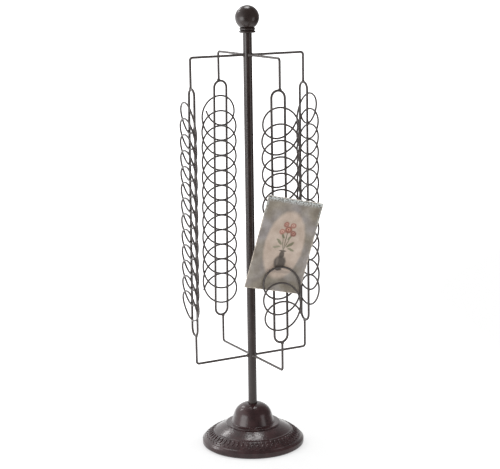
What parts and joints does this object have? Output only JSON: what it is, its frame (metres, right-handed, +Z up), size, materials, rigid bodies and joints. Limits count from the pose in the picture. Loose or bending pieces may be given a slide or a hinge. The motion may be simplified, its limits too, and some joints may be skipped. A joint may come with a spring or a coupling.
{
  "type": "rotating card rack",
  "caption": "Table-top rack that turns on a round cast foot: a central pole carries wire hangers with tall panels of leaning wire coils that hold cards, under a ball finial.",
  "frame": {"origin": "on the surface the rack stands on, under the middle of the foot", "axes": "+Z up the pole, -Y out of the front panel, the one that holds the card"},
  "size_m": [0.2136, 0.232, 0.671],
  "materials": {
    "cast_foot": "dark brown gloss enamel",
    "frame_enamel": "dark brown satin enamel",
    "coil_enamel": "dark brown satin enamel",
    "bright_steel": "turned",
    "nylon": "natural",
    "rubber": "moulded matt",
    "card_stock": "uncoated printed card"
  },
  "bodies": {
    "foot": {"foot_casting": "cast_foot", "rubber_ring": "rubber", "spindle": "bright_steel", "spindle_washer": "bright_steel", "spindle_nut": "bright_steel", "thrust_washer": "nylon"},
    "carousel": {"pole_tube": "frame_enamel", "finial_collar": "frame_enamel", "finial_ball": "frame_enamel", "upper_hanger_1": "frame_enamel", "lower_hanger_1": "frame_enamel", "frame_loop_1": "frame_enamel", "upper_hanger_2": "frame_enamel", "lower_hanger_2": "frame_enamel", "frame_loop_2": "frame_enamel", "upper_hanger_3": "frame_enamel", "lower_hanger_3": "frame_enamel", "frame_loop_3": "frame_enamel", "upper_hanger_4": "frame_enamel", "lower_hanger_4": "frame_enamel", "frame_loop_4": "frame_enamel", "card_coil_1": "coil_enamel", "card_coil_2": "coil_enamel", "card_coil_3": "coil_enamel", "card_coil_4": "coil_enamel", "top_plug": "bright_steel", "finial_stud": "bright_steel", "lower_bush": "nylon", "upper_bush": "nylon"},
    "card": {"sample_card": "card_stock"}
  },
  "joints": [
    {"name": "carousel_spin", "type": "hinge", "parent": "foot", "child": "carousel", "pos_m": [0, 0, 0.0571], "axis": [0, 0, 1], "continuous": true},
    {"name": "card_lift", "type": "slide", "parent": "carousel", "child": "card", "axis": [0.2099, -0.1656, 0.9636], "range_m": [0, 0.045]}
  ]
}
